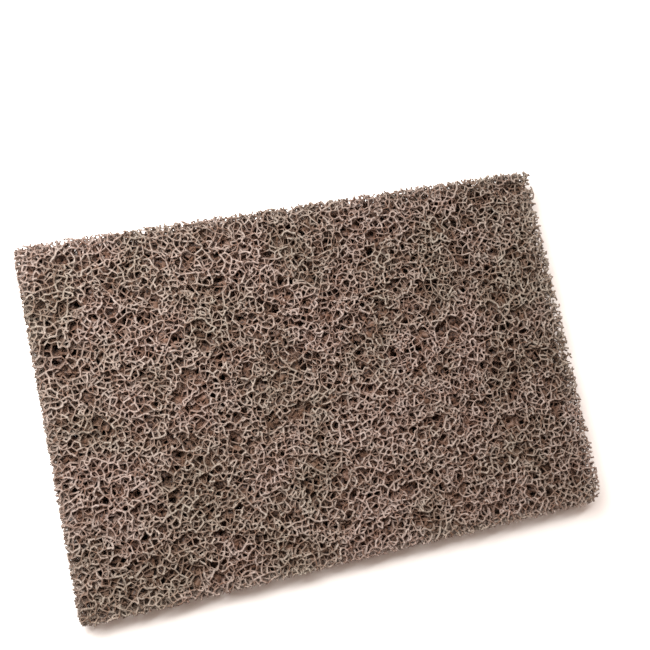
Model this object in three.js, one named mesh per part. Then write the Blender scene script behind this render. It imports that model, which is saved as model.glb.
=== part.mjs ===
// Griddle polishing pad: a hand-sized rectangular block of lofty, open, non-woven web.
// Coarse crimped fibres are bonded to each other with a gritty brown resin. What shows is a
// network of strands round rounded pores, on both faces and on the four cut edges.
// Millimetres, +Z up. The pad lies flat and the origin is the middle of its underside.

import * as THREE from 'three';

// Outside sizes
const PAD_LENGTH = 152.4;
const PAD_WIDTH = 101.6;
const PAD_THICKNESS = 9.5;
const CORNER_RADIUS = 2.4; // of the outline's four corners

// The web
const STRAND_LENGTH = 2.9; // from one crossing of strands to the next
const CORE_THICKNESS = 2.6; // web left between the deepest pores of the two faces
const EDGE_PORE_DEPTH = 1.8; // of the pores in the cut edges
const STRAND_WANDER = 0.8; // how far a strand strays from an even spacing
const LEAST_SAG = 0.3; // how far a strand dips below the face, away from the level places
const MOST_SAG = 1.5;
const EDGE_FRAY = 0.7; // how far the cut edges are ragged and rounded over

// The web's chances, as shares of one
const PORE_SHARE = 0.32; // of the crossings that may open into a pore
const SHALLOWEST_PORE = 0.55; // of the full depth
const BRIDGED_PORES = 0.1; // pores that resin has closed over, level with the face
const LEAST_FRAY = 0.3; // of the full fray, along the rims
const WEB_SEED = 135;

// The resin-coated fibre
const WEB_COLOUR = 0x6f5c51;
const WEB_ROUGHNESS = 0.95;

// Strands cross on a lattice of triangles. Some crossings are pores, with six strands round each.
const ROW_STEP = STRAND_LENGTH * Math.sin(Math.PI / 3);
const COLUMNS = Math.round(PAD_LENGTH / STRAND_LENGTH);
const ROWS = 2 * Math.round(PAD_WIDTH / (2 * ROW_STEP));
const LAYERS = 2 * Math.max(1, Math.round(PAD_THICKNESS / (2 * ROW_STEP)));
const LAST_STEP = 2 * COLUMNS; // places along a row are counted in half steps
const CLOSED_ROWS = 1; // along the cut edges, so that a face's pores stay clear of an edge's own
const MOST_JOINED = 1; // pores already there that a pore may open into
const PORE_DEPTH = (PAD_THICKNESS - CORE_THICKNESS) / 2;
const HALF_LENGTH = PAD_LENGTH / 2;
const HALF_WIDTH = PAD_WIDTH / 2;

const places = [];
const triangles = [];

function addPlace(x, y, z) {
  places.push(new THREE.Vector3(x, y, z));
  return places.length - 1;
}

function between(low, high) {
  return low + (high - low) * THREE.MathUtils.seededRandom();
}

// A stray in any direction of a plane, no further than reach.
function stray(reach) {
  const turn = between(0, 2 * Math.PI);
  const far = reach * Math.sqrt(between(0, 1));
  return [far * Math.cos(turn), far * Math.sin(turn)];
}

// Most strands stay close to the surface, and a few fall back by the full amount.
function fallBack(least, most) {
  return least + (most - least) * between(0, 1) ** 2;
}

// One row of crossings on a face. Every second row is half a step along, and is filled up
// with a crossing at each end, so that the rim is straight.
function layRow(row, level) {
  const steps = [];
  for (let step = row % 2; step <= LAST_STEP; step += 2) {
    steps.push(step);
  }
  if (row % 2 === 1) {
    steps.unshift(0);
    steps.push(LAST_STEP);
  }
  const onEnd = row === 0 || row === ROWS;
  return steps.map((step) => {
    const x = (step / LAST_STEP) * PAD_LENGTH - HALF_LENGTH;
    const y = (row / ROWS) * PAD_WIDTH - HALF_WIDTH;
    const rim = onEnd || step === 0 || step === LAST_STEP;
    return { place: addPlace(x, y, level), step, row, rim, pore: false, bridged: false };
  });
}

// The crossings one strand away from a crossing.
function beside(rows, { row, step }) {
  const near = rows.slice(row - 1, row + 2).flat();
  return near.filter((other) => Math.abs(other.step - step) <= 2);
}

// Pores fall where chance puts them, and some open into one that is already there.
function choosePores(rows) {
  rows.flat().forEach((crossing) => {
    const { row, step } = crossing;
    const fromEnd = Math.min(row, ROWS - row);
    const fromSide = Math.min(step, LAST_STEP - step) / 2;
    const clear = Math.min(fromEnd, fromSide) > CLOSED_ROWS;
    const joined = beside(rows, crossing).filter((other) => other.pore);
    crossing.pore = clear && joined.length <= MOST_JOINED && between(0, 1) < PORE_SHARE;
    crossing.bridged = crossing.pore && between(0, 1) < BRIDGED_PORES;
  });
}

// Two neighbouring rows are joined by a strip of triangles, which takes the nearer crossing next.
function joinRows(lower, upper, facesUp) {
  let low = 0;
  let high = 0;
  while (low < lower.length - 1 || high < upper.length - 1) {
    const lowNext = lower[low + 1] ?? { step: Infinity };
    const highNext = upper[high + 1] ?? { step: Infinity };
    const nearer = lowNext.step <= highNext.step ? lowNext : highNext;
    const corners = [lower[low].place, nearer.place, upper[high].place];
    triangles.push(facesUp ? corners : corners.reverse());
    low += nearer === lowNext ? 1 : 0;
    high += nearer === highNext ? 1 : 0;
  }
}

// The crossings round a bridged pore are level with it.
function levelPlaces(rows) {
  const bridged = rows.flat().filter((crossing) => crossing.bridged);
  const round = bridged.flatMap((crossing) => beside(rows, crossing));
  return new Set(round.map((crossing) => crossing.place));
}

// A face of the web: its pores go inward, and its strands wander and sag.
function makeFace(level, inward) {
  const rows = [];
  for (let row = 0; row <= ROWS; row += 1) {
    rows.push(layRow(row, level));
  }
  for (let row = 0; row < ROWS; row += 1) {
    joinRows(rows[row], rows[row + 1], inward < 0);
  }
  choosePores(rows);
  const levelled = levelPlaces(rows);
  const inside = rows.flat().filter((crossing) => !crossing.rim);
  inside.forEach((crossing) => {
    const place = places[crossing.place];
    const [alongX, alongY] = stray(STRAND_WANDER);
    place.x += alongX;
    place.y += alongY;
    if (crossing.pore && !crossing.bridged) {
      place.z += inward * PORE_DEPTH * between(SHALLOWEST_PORE, 1);
    } else if (!levelled.has(crossing.place)) {
      place.z += inward * fallBack(LEAST_SAG, MOST_SAG);
    }
  });
  return rows;
}

// The rim of a face, in order round the pad.
function rimOf(rows) {
  const front = rows[0];
  const back = rows[ROWS];
  const middle = rows.slice(1, ROWS);
  const right = middle.map((row) => row[row.length - 1]);
  const left = middle.map((row) => row[0]);
  const round = [...front, ...right, ...back.toReversed(), ...left.toReversed()];
  return round.map((crossing) => crossing.place);
}

// One ring of crossings round the cut edges, at its share of the thickness.
function layRing(outline, layer) {
  const shift = layer % 2;
  return outline.map((corner, at) => {
    const next = outline[(at + 1) % outline.length];
    const place = corner.clone().lerp(next, shift / 2);
    const onLong = Math.abs(place.y) === HALF_WIDTH;
    const onShort = Math.abs(place.x) === HALF_LENGTH;
    const pore = !(onLong && onShort) && between(0, 1) < PORE_SHARE;
    const depth = pore
      ? EDGE_PORE_DEPTH * between(SHALLOWEST_PORE, 1)
      : fallBack(0, EDGE_FRAY);
    const [along, upward] = stray(STRAND_WANDER);
    const x = place.x - (onShort ? Math.sign(place.x) * depth : 0);
    const y = place.y - (onLong ? Math.sign(place.y) * depth : 0);
    const z = (PAD_THICKNESS * layer) / LAYERS + upward;
    return addPlace(x + (onShort ? 0 : along), y + (onLong ? 0 : along), z);
  });
}

// Two rings are joined all the way round.
function joinRings(low, high, shift) {
  low.forEach((corner, at) => {
    const next = (at + 1) % low.length;
    if (shift === 0) {
      triangles.push([corner, low[next], high[at]]);
      triangles.push([low[next], high[next], high[at]]);
    } else {
      triangles.push([corner, high[next], high[at]]);
      triangles.push([corner, low[next], high[next]]);
    }
  });
}

// A rim is ragged and rounded over.
function frayRim(rim) {
  rim.forEach((index) => {
    const place = places[index];
    const onLong = Math.abs(place.y) === HALF_WIDTH;
    const onShort = Math.abs(place.x) === HALF_LENGTH;
    const inX = onShort ? EDGE_FRAY * between(LEAST_FRAY, 1) : 0;
    const inY = onLong ? EDGE_FRAY * between(LEAST_FRAY, 1) : 0;
    place.x -= Math.sign(place.x) * inX;
    place.y -= Math.sign(place.y) * inY;
    place.z += Math.sign(PAD_THICKNESS / 2 - place.z) * EDGE_FRAY * between(LEAST_FRAY, 1);
  });
}

// A corner of the outline is drawn in from its square onto a quarter circle.
function roundCorner(place) {
  const reachX = Math.max(0, Math.abs(place.x) - (HALF_LENGTH - CORNER_RADIUS));
  const reachY = Math.max(0, Math.abs(place.y) - (HALF_WIDTH - CORNER_RADIUS));
  const drawnIn = 1 - Math.max(reachX, reachY) / Math.max(Math.hypot(reachX, reachY), Number.EPSILON);
  place.x -= Math.sign(place.x) * reachX * drawnIn;
  place.y -= Math.sign(place.y) * reachY * drawnIn;
}

THREE.MathUtils.seededRandom(WEB_SEED);
const underRim = rimOf(makeFace(0, 1));
const upperRim = rimOf(makeFace(PAD_THICKNESS, -1));
const outline = underRim.map((index) => places[index].clone());
const rings = [underRim];
for (let layer = 1; layer < LAYERS; layer += 1) {
  rings.push(layRing(outline, layer));
}
rings.push(upperRim);
for (let layer = 0; layer < LAYERS; layer += 1) {
  joinRings(rings[layer], rings[layer + 1], layer % 2);
}
frayRim(underRim);
frayRim(upperRim);
places.forEach(roundCorner);

const geometry = new THREE.BufferGeometry().setFromPoints(places);
geometry.setIndex(triangles.flat());
geometry.computeVertexNormals();

const material = new THREE.MeshStandardMaterial({
  color: WEB_COLOUR,
  roughness: WEB_ROUGHNESS,
  metalness: 0,
});
const web = new THREE.Mesh(geometry, material);
web.name = 'polishing_pad';

const part = new THREE.Group();
part.name = 'griddle polishing pad';
part.add(web);

export default part;
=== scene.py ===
# %% [markdown]
# # Griddle polishing pad
# A block of lofty non-woven web, 6 by 4 inches. Coarse nylon fibres were crimped, blown into a mat
# and sprayed with a brown resin full of abrasive grains, which glued them wherever they cross.
# Nothing on it is smooth: what the eye reads is short bonded strands, the dark pores between them,
# and a ragged outline where a knife cut the mat to size. A bump map can't give that, so this lesson
# grows the web itself, strand by strand, inside the pitted solid that the frame holds.

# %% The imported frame
import math
from itertools import product

import bpy
import numpy as np
from mathutils import Matrix, Vector, noise
from mathutils.kdtree import KDTree


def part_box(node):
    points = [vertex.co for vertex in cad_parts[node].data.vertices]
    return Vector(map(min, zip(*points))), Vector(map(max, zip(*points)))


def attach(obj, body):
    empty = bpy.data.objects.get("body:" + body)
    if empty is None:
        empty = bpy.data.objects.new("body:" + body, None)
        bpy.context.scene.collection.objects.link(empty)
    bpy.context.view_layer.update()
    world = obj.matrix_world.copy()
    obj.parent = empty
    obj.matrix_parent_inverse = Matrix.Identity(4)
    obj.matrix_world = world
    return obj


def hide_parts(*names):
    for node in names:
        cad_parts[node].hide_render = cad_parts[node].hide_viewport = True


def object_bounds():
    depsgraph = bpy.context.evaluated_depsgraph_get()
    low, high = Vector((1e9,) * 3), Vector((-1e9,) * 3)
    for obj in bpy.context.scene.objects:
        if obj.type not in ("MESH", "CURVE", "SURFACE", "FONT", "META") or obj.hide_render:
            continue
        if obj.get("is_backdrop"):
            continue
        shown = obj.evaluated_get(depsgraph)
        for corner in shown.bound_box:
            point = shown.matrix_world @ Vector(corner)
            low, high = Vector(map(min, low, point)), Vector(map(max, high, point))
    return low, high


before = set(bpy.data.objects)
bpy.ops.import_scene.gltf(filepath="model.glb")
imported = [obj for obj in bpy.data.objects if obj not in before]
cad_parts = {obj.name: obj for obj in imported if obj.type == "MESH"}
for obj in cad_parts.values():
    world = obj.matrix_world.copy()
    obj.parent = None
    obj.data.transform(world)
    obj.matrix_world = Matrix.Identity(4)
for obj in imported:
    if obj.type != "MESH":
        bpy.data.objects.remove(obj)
cad_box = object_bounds()
MM = 0.001
low, high = (np.array(corner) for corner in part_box("polishing_pad"))
middle = (low + high) / 2
half = (high - low) / 2
print("pad, mm:", np.round((high - low) / MM, 1))


# %% [markdown]
# ## Two small helpers
# Colours are written as the hex values that a paint program shows. Shaders work in linear light, so
# one function converts them. The other adds a node, sets its properties, and fills its inputs with
# values or with links from other nodes. A Mix node keeps a set of sockets for each kind of value,
# all with the same names, so those are picked by number.

# %% Colour and node helpers
MIX_FACTOR = 0
MIX_COLOURS = (6, 7)
MIXED_COLOUR = 2


def linear(hex_colour):  # the numbers are those of the sRGB standard
    channels = [int(hex_colour[at:at + 2], 16) / 255 for at in (1, 3, 5)]
    light = [c / 12.92 if c <= 0.04045 else ((c + 0.055) / 1.055) ** 2.4 for c in channels]
    return (*light, 1.0)


def add(tree, kind, inputs=None, **settings):
    node = tree.nodes.new(kind)
    for name, value in settings.items():
        setattr(node, name, value)
    for name, value in (inputs or {}).items():
        if isinstance(value, bpy.types.NodeSocket):
            tree.links.new(value, node.inputs[name])
        else:
            node.inputs[name].default_value = value
    return node


print("half grey in linear light:", round(linear("#808080")[0], 3))

# %% [markdown]
# ## The finish
# Nylon fibre under sprayed phenolic resin with aluminium oxide grains in it. Cured, it is a matt
# brown crust. The eye sees strands of slightly different browns, because each took its own share of
# the spray, lighter beads where resin gathered at the bonds, and a grainy surface with a faint glint.
# Each strand carries its share of resin as an attribute, darkened with depth as painted shade, and
# a colour ramp turns that into a brown. Deep in the web, where that painted shade is full, one thick
# strand stands for a bundle, and a net of thin lines draws the bundle's own strands on it.

# %% Resin-coated fibre
# bare fibre, darkened as the painted shade of the heart, where the depth shade is full
SHADED_BARE_FIBRE = "#301d12"
THIN_COAT = "#5e4433"
THIN_SHARE = 0.12  # of a full crust
CRUST = "#96908b"
BUNDLE_MESH = 1.2 * MM  # between the strands drawn on a bundle, about as between those at a face
BUNDLE_STRAND = 0.15  # half their width, as a share of that
BUNDLE_COAT = 0.22  # of a full crust, on those strands
PATCH = 14 * MM  # the spray was not even: some places are more olive, others redder
PATCH_TINTS = ("#e9e5d9", "#fff3ef")
GRAIN = 0.5 * MM  # real grains are near 0.05 mm, too fine to show, so they are drawn in clusters
GRAIN_SHADES = (0.74, 1.26)  # from painted shade in the hollows between grains to painted light on the grains, over their own tone
GRAIN_HEIGHT = GRAIN / 3
BUMP = 0.5  # grains are half sunk in the resin
MATT = 0.7  # roughness
RESIN_IOR = 1.55
USUAL_NOISE = (0.35, 0.65)  # nearly all values of a noise texture lie between these


def coated_fibre():
    finish = bpy.data.materials.new("nylon fibre under abrasive resin")
    finish.use_nodes = True
    tree = finish.node_tree
    tree.nodes.clear()
    place = add(tree, "ShaderNodeTexCoord").outputs["Object"]
    resin_and_painted_shade = add(tree, "ShaderNodeAttribute", attribute_name="resin_and_painted_shade").outputs["Fac"]
    net = add(tree, "ShaderNodeTexVoronoi", {"Vector": place, "Scale": 1 / BUNDLE_MESH},
              feature="DISTANCE_TO_EDGE")
    drawn = add(tree, "ShaderNodeMapRange", {
        "Value": net.outputs["Distance"], "From Max": BUNDLE_STRAND,
        "To Min": BUNDLE_COAT, "To Max": 0.0,
    })
    coat_and_shade = add(tree, "ShaderNodeMath", {0: resin_and_painted_shade, 1: drawn.outputs[0]}, operation="MAXIMUM")
    # the ramp turns painted shade into dark browns, as it turns more resin into lighter ones
    brown = add(tree, "ShaderNodeValToRGB", {"Fac": coat_and_shade.outputs[0]})
    brown.color_ramp.elements[0].color = linear(SHADED_BARE_FIBRE)
    brown.color_ramp.elements[1].color = linear(CRUST)
    brown.color_ramp.elements.new(THIN_SHARE).color = linear(THIN_COAT)
    patch = add(tree, "ShaderNodeTexNoise", {"Vector": place, "Scale": 1 / PATCH, "Detail": 1.0})
    tint = add(tree, "ShaderNodeValToRGB", {"Fac": patch.outputs["Fac"]})
    for stop, position, colour in zip(tint.color_ramp.elements, USUAL_NOISE, PATCH_TINTS):
        stop.position = position
        stop.color = linear(colour)
    grain = add(tree, "ShaderNodeTexNoise", {"Vector": place, "Scale": 1 / GRAIN, "Detail": 2.0})
    # painted shade and light: the grain noise that bumps the surface also darkens its hollows and
    # lightens its grains
    shade = add(tree, "ShaderNodeMapRange", {
        "Value": grain.outputs["Fac"], "From Min": USUAL_NOISE[0], "From Max": USUAL_NOISE[1],
        "To Min": GRAIN_SHADES[0], "To Max": GRAIN_SHADES[1],
    })
    first, second = MIX_COLOURS
    tinted = add(tree, "ShaderNodeMix", {
        MIX_FACTOR: 1.0, first: brown.outputs["Color"], second: tint.outputs["Color"],
    }, data_type="RGBA", blend_type="MULTIPLY")
    shaded = add(tree, "ShaderNodeMix", {
        MIX_FACTOR: 1.0, first: tinted.outputs[MIXED_COLOUR], second: shade.outputs[0],
    }, data_type="RGBA", blend_type="MULTIPLY")
    bump = add(tree, "ShaderNodeBump", {
        "Height": grain.outputs["Fac"], "Distance": GRAIN_HEIGHT, "Strength": BUMP,
    })
    shader = add(tree, "ShaderNodeBsdfPrincipled", {
        "Base Color": shaded.outputs[MIXED_COLOUR], "Roughness": MATT, "IOR": RESIN_IOR,
        "Normal": bump.outputs["Normal"],
    })
    add(tree, "ShaderNodeOutputMaterial", {"Surface": shader.outputs[0]})
    print("finish:", finish.name, "with", len(tree.nodes), "nodes")
    return finish


resin_crust = coated_fibre()

# %% [markdown]
# ## Where fibres cross
# A mat is never even: fibres clump, and leave loose places between the clumps. Crossings are thrown
# in one at a time, and one that falls too near another is dropped. How near is too near changes along
# the faces with a slow noise, so clumps and loose places come by themselves. Along the cut edges the
# web is close and even, and towards its heart it is wider and even. Heights count for more than
# distances along the faces, because blown fibres settle flat.

# %% Crossings
STRAND_RADIUS = 0.2 * MM
STRAND_SHARES = (0.55, 1.35)  # thinnest and thickest strand, as shares of that radius
BEAD = 0.7  # extra thickness where resin gathered at a bond, as another share
FACE_GAP = 1.15 * MM  # between neighbours at a face, in a place of average density
HEART_GAP = 1.9 * MM  # the same in the middle of the thickness
EDGE_GAP = 1.05 * MM  # and at a cut edge
WIDEST_DEPTH = 4.4 * MM  # the gap widens from a face down to here
WIDENING = 3  # power by which it does, slowly at first
EDGE_BAND = 3 * MM  # in which it narrows towards a cut edge
CLUMP = 4.5 * MM  # from a clump to the loose place beside it
CLUMPING = 0.6  # share of the gap at a face that comes and goes with the clumps
GAP_SPREAD = 0.15  # share of the gap that is chance
FLATNESS = np.array([1, 1, 1.3])  # how much a distance counts in each direction
OVERHANG = 3 * MM  # web grown past the pad's outline, for the knife to cut
CORNER_RADIUS = 2.4 * MM  # of the outline
THROWS = 330_000
SEED = 41

dice = np.random.default_rng(SEED)


def past_outline(places):
    over = np.abs(places[..., :2] - middle[:2]) - (half[:2] - CORNER_RADIUS)
    outside = np.linalg.norm(np.maximum(over, 0), axis=-1)
    inside = np.minimum(over.max(-1), 0)
    return outside + inside - CORNER_RADIUS


def below_face(places):
    return half[2] - np.abs(places[..., 2] - middle[2])


def below_skin(places):
    return np.minimum(below_face(places), -past_outline(places))


def throw_darts(spots, gaps):
    cell_size = HEART_GAP  # each throw is compared only with those in the cells round it
    taken = {}
    kept = []
    for index, (spot, gap) in enumerate(zip(spots, gaps)):
        x, y, z = (int(along // cell_size) for along in spot)
        reach = math.ceil(gap / cell_size)
        steps = range(-reach, reach + 1)
        cells = ((x + i, y + j, z + k) for i, j, k in product(steps, repeat=3))
        near = (other for cell in cells for other in taken.get(cell, ()))
        if all(math.dist(spot, other) > gap for other in near):
            taken.setdefault((x, y, z), []).append(spot)
            kept.append(index)
    return kept


beyond = np.array([OVERHANG, OVERHANG, -STRAND_RADIUS * (STRAND_SHARES[1] + BEAD)])
thrown = dice.uniform(low - beyond, high + beyond, (THROWS, 3))
clumps = np.array([noise.noise(Vector(place) / CLUMP) for place in thrown])
gaps = FACE_GAP * (1 + CLUMPING * clumps)
gaps += (HEART_GAP - gaps) * np.minimum(1, below_face(thrown) / WIDEST_DEPTH) ** WIDENING
gaps += (EDGE_GAP - gaps) * np.clip(1 + past_outline(thrown) / EDGE_BAND, 0, 1)
gaps *= 1 + GAP_SPREAD * dice.uniform(-1, 1, THROWS)
crossings = thrown[throw_darts((thrown * FLATNESS).tolist(), gaps.tolist())]
print("crossings:", len(crossings))

# %% [markdown]
# ## Pores
# Both faces are pitted with pores a few millimetres wide, where the web is open down into the dark.
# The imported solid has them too, as pits, so its own lowest points say where they are and how deep.
# Each takes away the crossings within an egg that hangs from the face.

# %% Pores in both faces
LEAST_PORE = 1.7 * MM  # a shallower dip is only a sagging strand
PORE_WIDTH = 0.56  # radius, as a share of the pit's depth
PORE_DEPTH = 0.75  # as another share: strands still cross a pore's floor

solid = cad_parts["polishing_pad"].data
points = np.unique([corner.co for corner in solid.vertices], axis=0)
pits = points[(below_face(points) > LEAST_PORE) & (past_outline(points) < -EDGE_BAND)]
lost = np.zeros(len(crossings), bool)
for pit, depth in zip(pits, below_face(pits)):
    mouth = np.array([pit[0], pit[1], high[2] if pit[2] > middle[2] else low[2]])
    egg = depth * np.array([PORE_WIDTH, PORE_WIDTH, PORE_DEPTH])
    lost |= np.linalg.norm((crossings - mouth) / egg, axis=1) < 1
crossings = crossings[~lost]
print("pores:", len(pits), "crossings left round them:", len(crossings))

# %% [markdown]
# ## Bonds
# Two crossings are joined by a strand when nothing lies between them, that is when no third crossing
# falls in the lens-shaped space that both see. A wide lens leaves few strands, a narrow one many. This
# one leaves about five at a crossing, as the photograph shows.

# %% Strands between crossings
NEIGHBOURS = 14  # no strand goes further than to the fourteenth
LENS = 1.6  # at 1 a ball on the strand, at 2 all that is nearer to both ends than they are to each other
LONGEST = 2.5 * MM  # a wider gap is a pore, and stays open


def bond(places):
    flat = places * FLATNESS
    tree = KDTree(len(flat))
    for index, place in enumerate(flat):
        tree.insert(place, index)
    tree.balance()
    near = np.array([[found[1] for found in tree.find_n(place, NEIGHBOURS + 1)][1:] for place in flat])
    start = np.repeat(np.arange(len(flat)), NEIGHBOURS)
    end = near.ravel()
    start, end = start[start < end], end[start < end]
    sight = LENS / 2 * np.linalg.norm(flat[end] - flat[start], axis=1)
    one_side = flat[start] + LENS / 2 * (flat[end] - flat[start])
    other_side = flat[end] + LENS / 2 * (flat[start] - flat[end])
    blocked = np.linalg.norm(places[end] - places[start], axis=1) > LONGEST
    for third in np.concatenate([near[start], near[end]], axis=1).T:
        within = np.linalg.norm(flat[third] - one_side, axis=1) < sight
        within &= np.linalg.norm(flat[third] - other_side, axis=1) < sight
        blocked |= within & (third != start) & (third != end)
    return places[np.stack([start[~blocked], end[~blocked]], axis=1)]


strands = bond(crossings)
print("strands:", len(strands), "at a crossing:", round(2 * len(strands) / len(crossings), 1))

# %% [markdown]
# ## The knife
# The mat was cut to a rectangle with slightly rounded corners. A knife can't cut a springy web clean:
# each strand that crosses the outline ends a little short of it, by its own amount. What hangs on
# nothing after the cut falls out. To find that, every crossing gets a number, and takes over the
# lowest number among its neighbours until nothing changes: then each loose bit has its own.

# %% Cut to the outline
RAGGED = 0.8 * MM  # the most by which a cut strand ends short of the outline
SHORTEST = 0.4 * MM  # shorter stubs fall out


def hold_together(walks):
    ends = np.unique(walks.reshape(-1, 3), axis=0, return_inverse=True)[1].reshape(-1, 2)
    group = np.arange(ends.max() + 1)
    settled = False
    while not settled:
        lowest = group.copy()
        np.minimum.at(lowest, ends[:, 0], group[ends[:, 1]])
        np.minimum.at(lowest, ends[:, 1], group[ends[:, 0]])
        lowest = lowest[lowest]
        settled = (lowest == group).all()
        group = lowest
    bits = group[ends[:, 0]]
    return walks[bits == np.bincount(bits).argmax()]


past = past_outline(strands) + RAGGED * dice.random((len(strands), 1))
strands, past = strands[past.min(1) < 0], past[past.min(1) < 0]
outward = past[:, 0] > past[:, 1]
strands[outward] = strands[outward][:, ::-1]
past[outward] = past[outward][:, ::-1]
stub = np.where(past[:, 1] > 0, past[:, 0] / (past[:, 0] - past[:, 1]), 1.0)
strands[:, 1] = strands[:, 0] + (strands[:, 1] - strands[:, 0]) * stub[:, None]
strands = strands[np.linalg.norm(strands[:, 1] - strands[:, 0], axis=1) > SHORTEST]
strands = hold_together(strands)
print("strands inside the outline:", len(strands))


# %% [markdown]
# ## From wire to strand
# Each strand is so far a straight wire. A geometry node tree gives it its body: it sways out sideways
# as crimped fibre does, takes its own share of resin, is thickest where resin gathered at the bonds,
# and ends in closed caps. Each wire also brings a painted shade, which darkens its colour with depth
# below the faces and cut edges. All sizes come in as named inputs, so every layer of the web uses the
# same tree.

# %% Geometry nodes for strands
SPRAY = 2.6 * MM  # from a place that caught more resin to one that caught less
SWAY_ALONG = np.array([1, 1, 0.5])  # blown fibres lie flat, so they sway less up and down
ARCH = 4.0  # makes an arch x (1 - x) one high
LOAD_WEIGHT = 3.0  # a strand's own load counts for three times as much as the spray or the beads
WEIGHTS = LOAD_WEIGHT + 1 + 1


def strand_tree():
    tree = bpy.data.node_groups.new("bonded strands", "GeometryNodeTree")
    sockets = tree.interface
    sockets.new_socket("Strands", in_out="OUTPUT", socket_type="NodeSocketGeometry")
    sockets.new_socket("Wire", in_out="INPUT", socket_type="NodeSocketGeometry")
    kinds = {
        "Radius": "Float", "Sway": "Float", "Bead": "Float", "Steps": "Int", "Sides": "Int",
        "Seed": "Int", "Finish": "Material",
    }
    for name, kind in kinds.items():
        sockets.new_socket(name, in_out="INPUT", socket_type="NodeSocket" + kind)
    given = add(tree, "NodeGroupInput").outputs
    wire = add(tree, "GeometryNodeMeshToCurve", {"Mesh": given["Wire"]}).outputs[0]
    wire = add(tree, "GeometryNodeResampleCurve", {"Curve": wire, "Count": given["Steps"]}).outputs[0]

    # the sway: an arch along the strand, to a side of its own
    along = add(tree, "GeometryNodeSplineParameter").outputs["Factor"]
    rest = add(tree, "ShaderNodeMath", {0: 1.0, 1: along}, operation="SUBTRACT").outputs[0]
    arch = add(tree, "ShaderNodeMath", {0: along, 1: rest}, operation="MULTIPLY").outputs[0]
    arch = add(tree, "ShaderNodeMath", {0: arch, 1: ARCH}, operation="MULTIPLY").outputs[0]
    index = add(tree, "GeometryNodeInputIndex").outputs[0]
    side = add(tree, "FunctionNodeRandomValue", {
        0: -SWAY_ALONG, 1: SWAY_ALONG, "ID": index, "Seed": given["Seed"],
    }, data_type="FLOAT_VECTOR").outputs[0]
    side = add(tree, "GeometryNodeFieldOnDomain", {0: side},
               data_type="FLOAT_VECTOR", domain="CURVE").outputs[0]
    sway = add(tree, "ShaderNodeMath", {0: arch, 1: given["Sway"]}, operation="MULTIPLY").outputs[0]
    sway = add(tree, "ShaderNodeVectorMath", {0: side, "Scale": sway}, operation="SCALE").outputs[0]
    wire = add(tree, "GeometryNodeSetPosition", {"Geometry": wire, "Offset": sway}).outputs[0]

    # the resin: the strand's own load, the spray at this place, and the beads at its ends, times a
    # painted shade that darkens with depth
    load = add(tree, "FunctionNodeRandomValue", {"ID": index, "Seed": given["Seed"]}).outputs[1]
    load = add(tree, "GeometryNodeFieldOnDomain", {0: load},
               data_type="FLOAT", domain="CURVE").outputs[0]
    spray = add(tree, "ShaderNodeTexNoise", {"Scale": 1 / SPRAY, "Detail": 0.0}).outputs["Fac"]
    spray = add(tree, "ShaderNodeMapRange", {
        "Value": spray, "From Min": USUAL_NOISE[0], "From Max": USUAL_NOISE[1],
    }).outputs[0]
    ends = add(tree, "ShaderNodeMath", {0: 1.0, 1: arch}, operation="SUBTRACT").outputs[0]
    resin_and_painted_shade = add(tree, "ShaderNodeMath", {0: spray, 1: ends}, operation="ADD").outputs[0]
    resin_and_painted_shade = add(tree, "ShaderNodeMath", {0: load, 1: LOAD_WEIGHT, 2: resin_and_painted_shade},
                operation="MULTIPLY_ADD").outputs[0]
    resin_and_painted_shade = add(tree, "ShaderNodeMath", {0: resin_and_painted_shade, 1: WEIGHTS}, operation="DIVIDE").outputs[0]
    # painted shade: the resin share, and so the colour, fades with depth below the faces and cut edges
    painted_depth_light = add(tree, "GeometryNodeInputNamedAttribute", {"Name": "painted_depth_light"},
                  data_type="FLOAT").outputs[0]
    resin_and_painted_shade = add(tree, "ShaderNodeMath", {0: resin_and_painted_shade, 1: painted_depth_light}, operation="MULTIPLY").outputs[0]
    wire = add(tree, "GeometryNodeStoreNamedAttribute", {
        "Geometry": wire, "Name": "resin_and_painted_shade", "Value": resin_and_painted_shade,
    }, data_type="FLOAT", domain="POINT").outputs[0]

    # the body: a tube, thicker with more load and at its ends
    share = add(tree, "ShaderNodeMapRange", {
        "Value": load, "To Min": STRAND_SHARES[0], "To Max": STRAND_SHARES[1],
    }).outputs[0]
    bead = add(tree, "ShaderNodeMath", {0: ends, 1: given["Bead"]}, operation="MULTIPLY").outputs[0]
    share = add(tree, "ShaderNodeMath", {0: share, 1: bead}, operation="ADD").outputs[0]
    radius = add(tree, "ShaderNodeMath", {0: share, 1: given["Radius"]}, operation="MULTIPLY").outputs[0]
    ring = add(tree, "GeometryNodeCurvePrimitiveCircle", {"Resolution": given["Sides"], "Radius": 1.0})
    body = add(tree, "GeometryNodeCurveToMesh", {
        "Curve": wire, "Profile Curve": ring.outputs[0], "Scale": radius, "Fill Caps": True,
    }).outputs[0]
    body = add(tree, "GeometryNodeSetShadeSmooth", {"Geometry": body}).outputs[0]
    body = add(tree, "GeometryNodeRealizeInstances", {"Geometry": body}).outputs[0]
    body = add(tree, "GeometryNodeSetMaterial", {
        "Geometry": body, "Material": given["Finish"],
    }).outputs[0]
    add(tree, "NodeGroupOutput", {"Strands": body})
    print("node tree:", tree.name, "with", len(tree.nodes), "nodes")
    return tree


bonded_strands = strand_tree()

# %% [markdown]
# ## Layers
# What shows is the skin of the web: its two faces and its cut edges, and through the gaps in them a
# second layer just below. The heart is in the dark, and only the deepest pores show some of it. So
# the strands of the skin are bent and beaded, and roundest on the upper face. Those below are straight
# and three-sided, and a little thicker, because resin ran together on them. In the heart each stands
# for a bundle, which saves enough faces for a web so dense that no daylight comes through.

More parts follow.
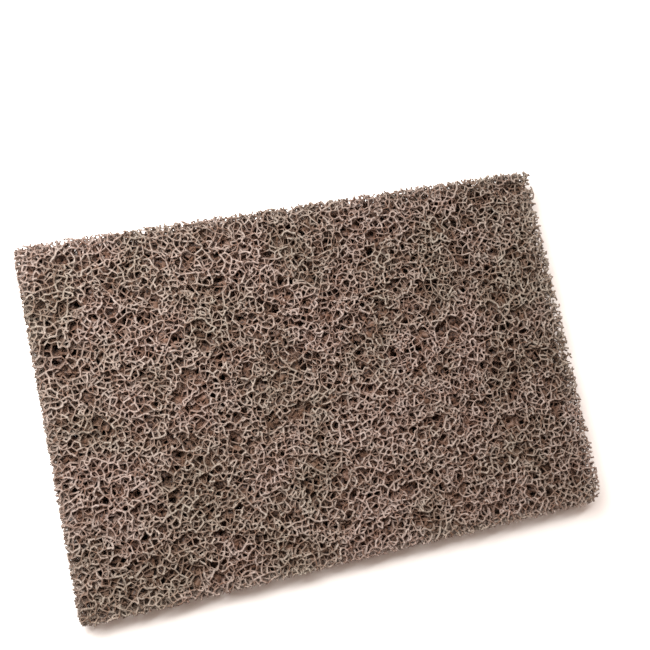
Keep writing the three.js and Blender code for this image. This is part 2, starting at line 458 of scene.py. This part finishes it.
# %% Sort the strands into layers
FACE = 1.1 * MM  # depth of the layer that shows on each face
CUT_EDGE = 1.2 * MM  # and of the one along the cut edges
HEART = 3.4 * MM  # depth below faces and cut edges at which the heart begins
SWAY = 0.35 * MM
INNER_SHARE = 1.5  # thickness, against a strand of the skin
BUNDLE = 5.6  # the same in the heart
BENT = {"Radius": STRAND_RADIUS, "Sway": SWAY, "Bead": BEAD, "Steps": 3}
STRAIGHT = {"Sway": 0.0, "Bead": 0.0, "Steps": 2, "Sides": 3}

centres = strands.mean(1)
upper = centres[:, 2] > middle[2]
in_face = below_face(centres) < FACE
in_edge = ~in_face & (past_outline(centres) > -CUT_EDGE)
in_heart = below_skin(centres) > HEART
layers = {  # for each layer its strands, the number of pieces that it is split into, and their shape
    "upper_face_web": (strands[in_face & upper], 2, {**BENT, "Sides": 4}),
    "under_face_web": (strands[in_face & ~upper], 2, {**BENT, "Sides": 3}),
    "cut_edge_web": (strands[in_edge], 1, {**BENT, "Sides": 3}),
    "inner_web": (strands[~in_face & ~in_edge & ~in_heart], 3,
                  {**STRAIGHT, "Radius": STRAND_RADIUS * INNER_SHARE}),
    "heart_web": (strands[in_heart], 2, {**STRAIGHT, "Radius": STRAND_RADIUS * BUNDLE}),
}
print("strands in each layer:", {name: len(layer[0]) for name, layer in layers.items()})

# %% [markdown]
# ## Growing the web
# Each layer becomes plain meshes, so that nothing is left to a modifier. Together they stand for the
# one imported solid, and ride on the one body.

PAINTED_SHADE_DEPTH = 3.5 * MM  # depth at which the painted shade is full
PAINTED_SHADE_POWER = 2  # power by which the painted shade deepens with depth, slowly at first


def wire_mesh(walks):
    points = walks.reshape(-1, 3)
    wire = bpy.data.meshes.new("wire")
    wire.from_pydata(points.tolist(), np.arange(len(points)).reshape(-1, 2).tolist(), [])
    # painted shade: 1 at the faces and cut edges, falling to 0 at the painted shade depth
    shade_depth = below_skin(points) / PAINTED_SHADE_DEPTH
    painted_depth_light = wire.attributes.new("painted_depth_light", "FLOAT", "POINT")
    painted_depth_light.data.foreach_set("value", np.clip(1 - shade_depth ** PAINTED_SHADE_POWER, 0, 1))
    return wire


def grow(name, tree, wire, values):
    piece = bpy.data.objects.new(name, wire)
    bpy.context.collection.objects.link(piece)
    growth = piece.modifiers.new("growth", "NODES")
    growth.node_group = tree
    for socket in tree.interface.items_tree:
        if socket.in_out == "INPUT" and socket.name in values:
            growth[socket.identifier] = values[socket.name]
    evaluated = piece.evaluated_get(bpy.context.evaluated_depsgraph_get())
    grown = bpy.data.meshes.new_from_object(evaluated)
    piece.modifiers.remove(growth)
    piece.data = grown
    grown.name = name
    return piece


for name, (walks, count, shape) in layers.items():
    in_order = walks[np.argsort(walks[:, 0, 0])]
    for number, share in enumerate(np.array_split(in_order, count), start=1):
        values = {**shape, "Seed": number, "Finish": resin_crust}
        piece = grow(f"{name}_{number}", bonded_strands, wire_mesh(share), values)
        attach(piece, "root")
        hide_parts("polishing_pad")
        triangles = sum(len(facet.vertices) - 2 for facet in piece.data.polygons)
        print(piece.name, "has", len(share), "strands,", triangles, "triangles")

# %% [markdown]
# ## The table
# A plain white sheet, bright enough to burn out to white, as in the photograph. Its laminate is matt,
# so it shows no lamp, only the pad's soft shadow.

# %% White table
TABLE_HALF = 6.0  # metres
LAMINATE = "#f4f2ef"

corners = [(-TABLE_HALF, -TABLE_HALF, 0), (TABLE_HALF, -TABLE_HALF, 0),
           (TABLE_HALF, TABLE_HALF, 0), (-TABLE_HALF, TABLE_HALF, 0)]
sheet = bpy.data.meshes.new("table")
sheet.from_pydata(corners, [], [(0, 1, 2, 3)])
table = bpy.data.objects.new("table", sheet)
bpy.context.collection.objects.link(table)
laminate = bpy.data.materials.new("white laminate")
laminate.use_nodes = True
surface = laminate.node_tree.nodes["Principled BSDF"].inputs
surface["Base Color"].default_value = linear(LAMINATE)
surface["Roughness"].default_value = MATT
sheet.materials.append(laminate)
table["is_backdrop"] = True
print("table, metres wide:", 2 * TABLE_HALF)

# %% [markdown]
# ## Studio light
# A long strip lamp hangs above and behind the pad, along its long side. It throws a short shadow in
# front of the pad, whose border is smooth because the lamp is long, and crisp because it is narrow. A
# panel at the back left makes that side a little brighter. A warm fill keeps the pores brown. It is
# weaker from in front, so that the shadow there stays dark. Low down, all round, it ends in pale walls,
# which other views show behind the table and which hardly light it.

# %% Lamps and fill
LAMPS = {  # for each lamp the way to it, how far it is, its width and height, in metres, and its watts
    "strip_box": (Vector((-0.1, 0.42, 0.9)), 3.0, (2.7, 0.24), 61.2),
    "side_panel": (Vector((-0.42, 0.42, 0.8)), 0.23, (0.133, 0.133), 0.9),
}
FILL_COLOUR = "#ffddcb"
FILL = (0.05, 0.95)  # strength from in front and from behind
WALL_COLOUR = "#f8f3ee"
WALL = 1.0  # strength
WALL_TOP = (0.17, 0.26)  # sines of the heights, seen from the pad, where the walls fade into the fill
MIX_NUMBERS = (2, 3)  # a Mix node's sockets for plain numbers

world = bpy.data.worlds.new("studio")
world.use_nodes = True
room = world.node_tree
room.nodes.clear()
way = add(room, "ShaderNodeTexCoord").outputs["Generated"]
way = add(room, "ShaderNodeSeparateXYZ", {"Vector": way}).outputs
fill = add(room, "ShaderNodeMapRange", {
    "Value": way["Y"], "From Min": -1.0, "To Min": FILL[0], "To Max": FILL[1],
}).outputs[0]
wall = add(room, "ShaderNodeMapRange", {
    "Value": way["Z"], "From Min": WALL_TOP[0], "From Max": WALL_TOP[1], "To Min": 1.0, "To Max": 0.0,
}).outputs[0]
strength = add(room, "ShaderNodeMix", {MIX_FACTOR: wall, MIX_NUMBERS[0]: fill, MIX_NUMBERS[1]: WALL})
colour = add(room, "ShaderNodeMix", {
    MIX_FACTOR: wall, MIX_COLOURS[0]: linear(FILL_COLOUR), MIX_COLOURS[1]: linear(WALL_COLOUR),
}, data_type="RGBA")
glow = add(room, "ShaderNodeBackground", {
    "Color": colour.outputs[MIXED_COLOUR], "Strength": strength.outputs[0],
})
add(room, "ShaderNodeOutputWorld", {"Surface": glow.outputs[0]})
bpy.context.scene.world = world
for name, (side, away, (wide, tall), watts) in LAMPS.items():
    light = bpy.data.lights.new(name, "AREA")
    light.shape = "RECTANGLE"
    light.size = wide
    light.size_y = tall
    light.energy = watts
    lamp = bpy.data.objects.new(name, light)
    lamp.location = side.normalized() * away
    lamp.rotation_euler = side.to_track_quat("Z", "Y").to_euler()
    bpy.context.collection.objects.link(lamp)
    print(name, "at, m:", [round(along, 2) for along in lamp.location])

# %% [markdown]
# ## Camera
# Steep above the pad, rolled to one side, and close, so that the pad's sides run together a little.

# %% Camera at the photograph's angle
PHOTO_WIDTH = 650
FOCAL_LENGTH = 1000.92  # in pixels of the photograph
SENSOR = 36  # mm
AZIMUTH, ELEVATION, ROLL = (math.radians(angle) for angle in (-69.883, 74.424, 58.833))
EYE = Vector((-67.43, -10.93, 280.97)) * MM

optics = bpy.data.cameras.new("camera")
optics.sensor_width = SENSOR
optics.lens = SENSOR * FOCAL_LENGTH / PHOTO_WIDTH
camera = bpy.data.objects.new("camera", optics)
tilt = Matrix.Rotation(math.pi / 2 - ELEVATION, 4, "X") @ Matrix.Rotation(ROLL, 4, "Z")
camera.matrix_world = Matrix.Translation(EYE) @ Matrix.Rotation(AZIMUTH, 4, "Z") @ tilt
bpy.context.collection.objects.link(camera)
bpy.context.scene.camera = camera
bpy.context.scene.view_settings.view_transform = "Standard"
print("lens, mm:", round(optics.lens, 1))

# %% [markdown]
# ## Finish
# Both boxes, the imported solid's and the web's, are printed. The web has to stay in the
# imported solid's box.

# %% Print the two boxes, and finish
boxes = {"cad": cad_box, "visual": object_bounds()}
for name, (lowest, highest) in boxes.items():
    print(name, "box, mm:", np.round((np.array(highest) - np.array(lowest)) / MM, 2))
